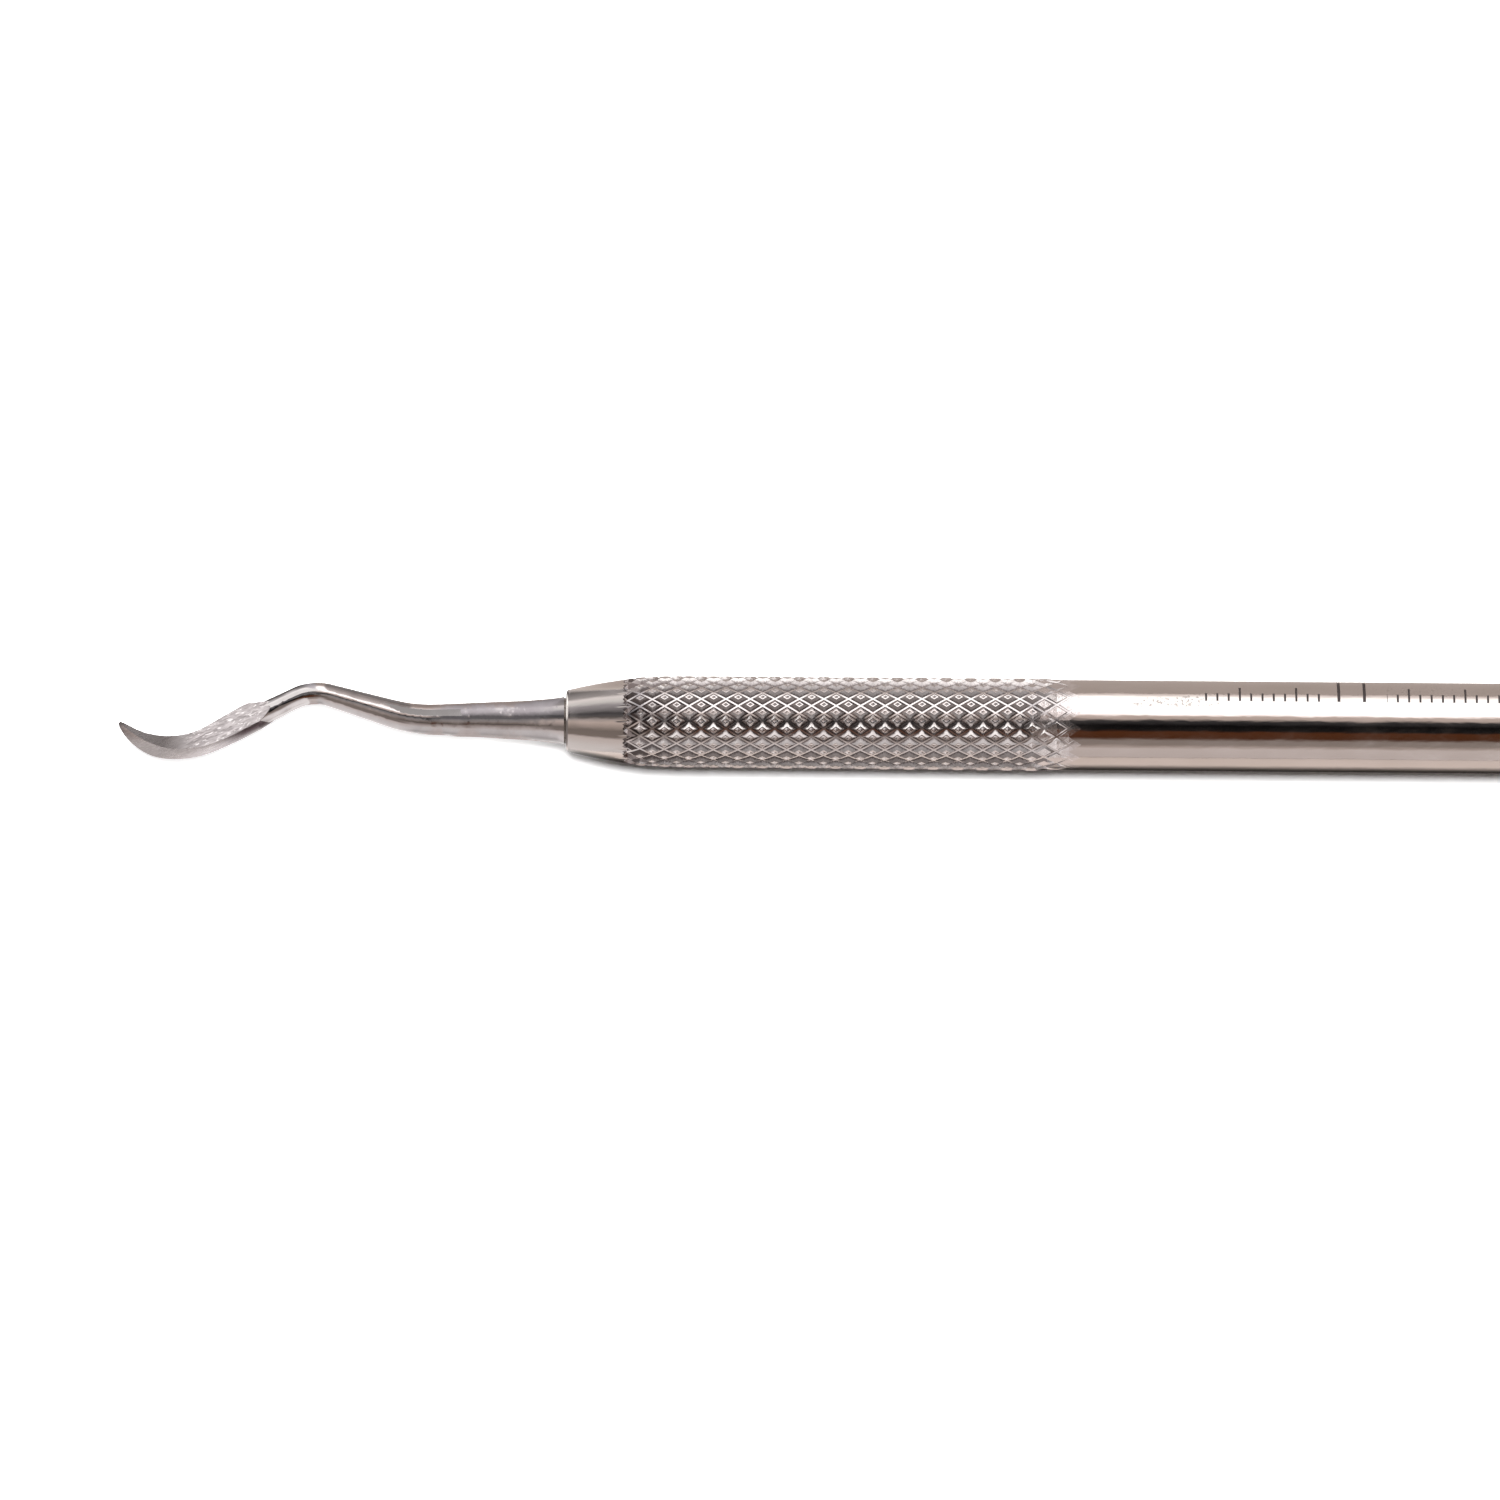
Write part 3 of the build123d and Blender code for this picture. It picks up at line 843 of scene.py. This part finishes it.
def build_world():
    """The strips of light. The sets take over from each other as a direction leans along X."""
    world = bpy.data.worlds.new("studio")
    bpy.context.scene.world = world
    world.use_nodes = True
    graph = Graph(world.node_tree)
    back = graph.nodes["Background"]
    direction = graph.node("ShaderNodeTexCoord").outputs["Generated"]
    x, y, z = split(graph, direction)
    angle = graph.math("ARCTAN2", y, z)
    share = graph.node("ShaderNodeMapRange", {"Value": angle, "From Min": -pi, "From Max": pi}).outputs[0]
    forward = graph.math("MULTIPLY", x, -1.0)
    either_way = graph.math("ABSOLUTE", x)
    colour = strip_ramp(graph, share, STRIPS_OVERHEAD)
    for lean, lean_range, strips in [
        (forward, SHANK_LEAN, STRIPS_SHANK), (forward, NOSE_LEAN, STRIPS_NOSE),
        (x, NECK_LEAN, STRIPS_NECK), (either_way, SIDE_LEAN, STRIPS_SIDE),
    ]:
        colour = graph.blend(graph.rise(lean, *lean_range), colour, strip_ramp(graph, share, strips))
    graph.put(back.inputs["Color"], colour)
    path = graph.node("ShaderNodeLightPath")
    glow = graph.math("MULTIPLY", path.outputs["Is Diffuse Ray"], (DIFFUSE_SHARE - 1) * BRIGHTEST)
    graph.put(back.inputs["Strength"], graph.math("ADD", glow, BRIGHTEST))


def build_light():
    """A round lamp overhead, leaning towards +Y, which lights the floor and isn't seen in the metal."""
    data = bpy.data.lights.new("overhead", "AREA")
    data.shape = "DISK"
    data.size = LAMP_WIDTH
    data.energy = LAMP_POWER
    obj = bpy.data.objects.new("overhead", data)
    bpy.context.collection.objects.link(obj)
    obj.location = Vector(LAMP_TARGET) + Vector((0.0, sin(LAMP_LEAN), cos(LAMP_LEAN)))
    obj.rotation_euler = (-LAMP_LEAN, 0, 0)
    obj.visible_glossy = False
    obj.visible_camera = False


def build_camera():
    """The photo's view: straight down on the front part of the tool."""
    data = bpy.data.cameras.new("camera")
    data.sensor_width = SENSOR_WIDTH
    data.lens = SENSOR_WIDTH * CAMERA_PLACE[2] / PICTURE_WIDTH
    data.clip_start = 0.01
    data.clip_end = 10.0
    obj = bpy.data.objects.new("camera", data)
    bpy.context.collection.objects.link(obj)
    obj.location = CAMERA_PLACE
    obj.rotation_euler = (0, 0, CAMERA_ROLL)
    bpy.context.scene.camera = obj


def dress(names, material):
    """Give CAD nodes one material; their shape stays as it is."""
    for name in names:
        mesh = frame["nodes"][name].data
        mesh.materials.clear()
        mesh.materials.append(material)


def main():
    build_handle([polished_steel(), knurled_steel(), groove_steel()])
    dress(("front_working_end", "rear_working_end"), end_steel())
    dress(("front_braze_ring", "rear_braze_ring"), braze_metal())
    build_floor()
    build_card("blade_card", *BLADE_CARD)
    build_card("bend_card", *BEND_CARD)
    build_world()
    build_light()
    build_camera()
    view = bpy.context.scene.view_settings
    view.view_transform = "Standard"
    view.look = "None"


main()
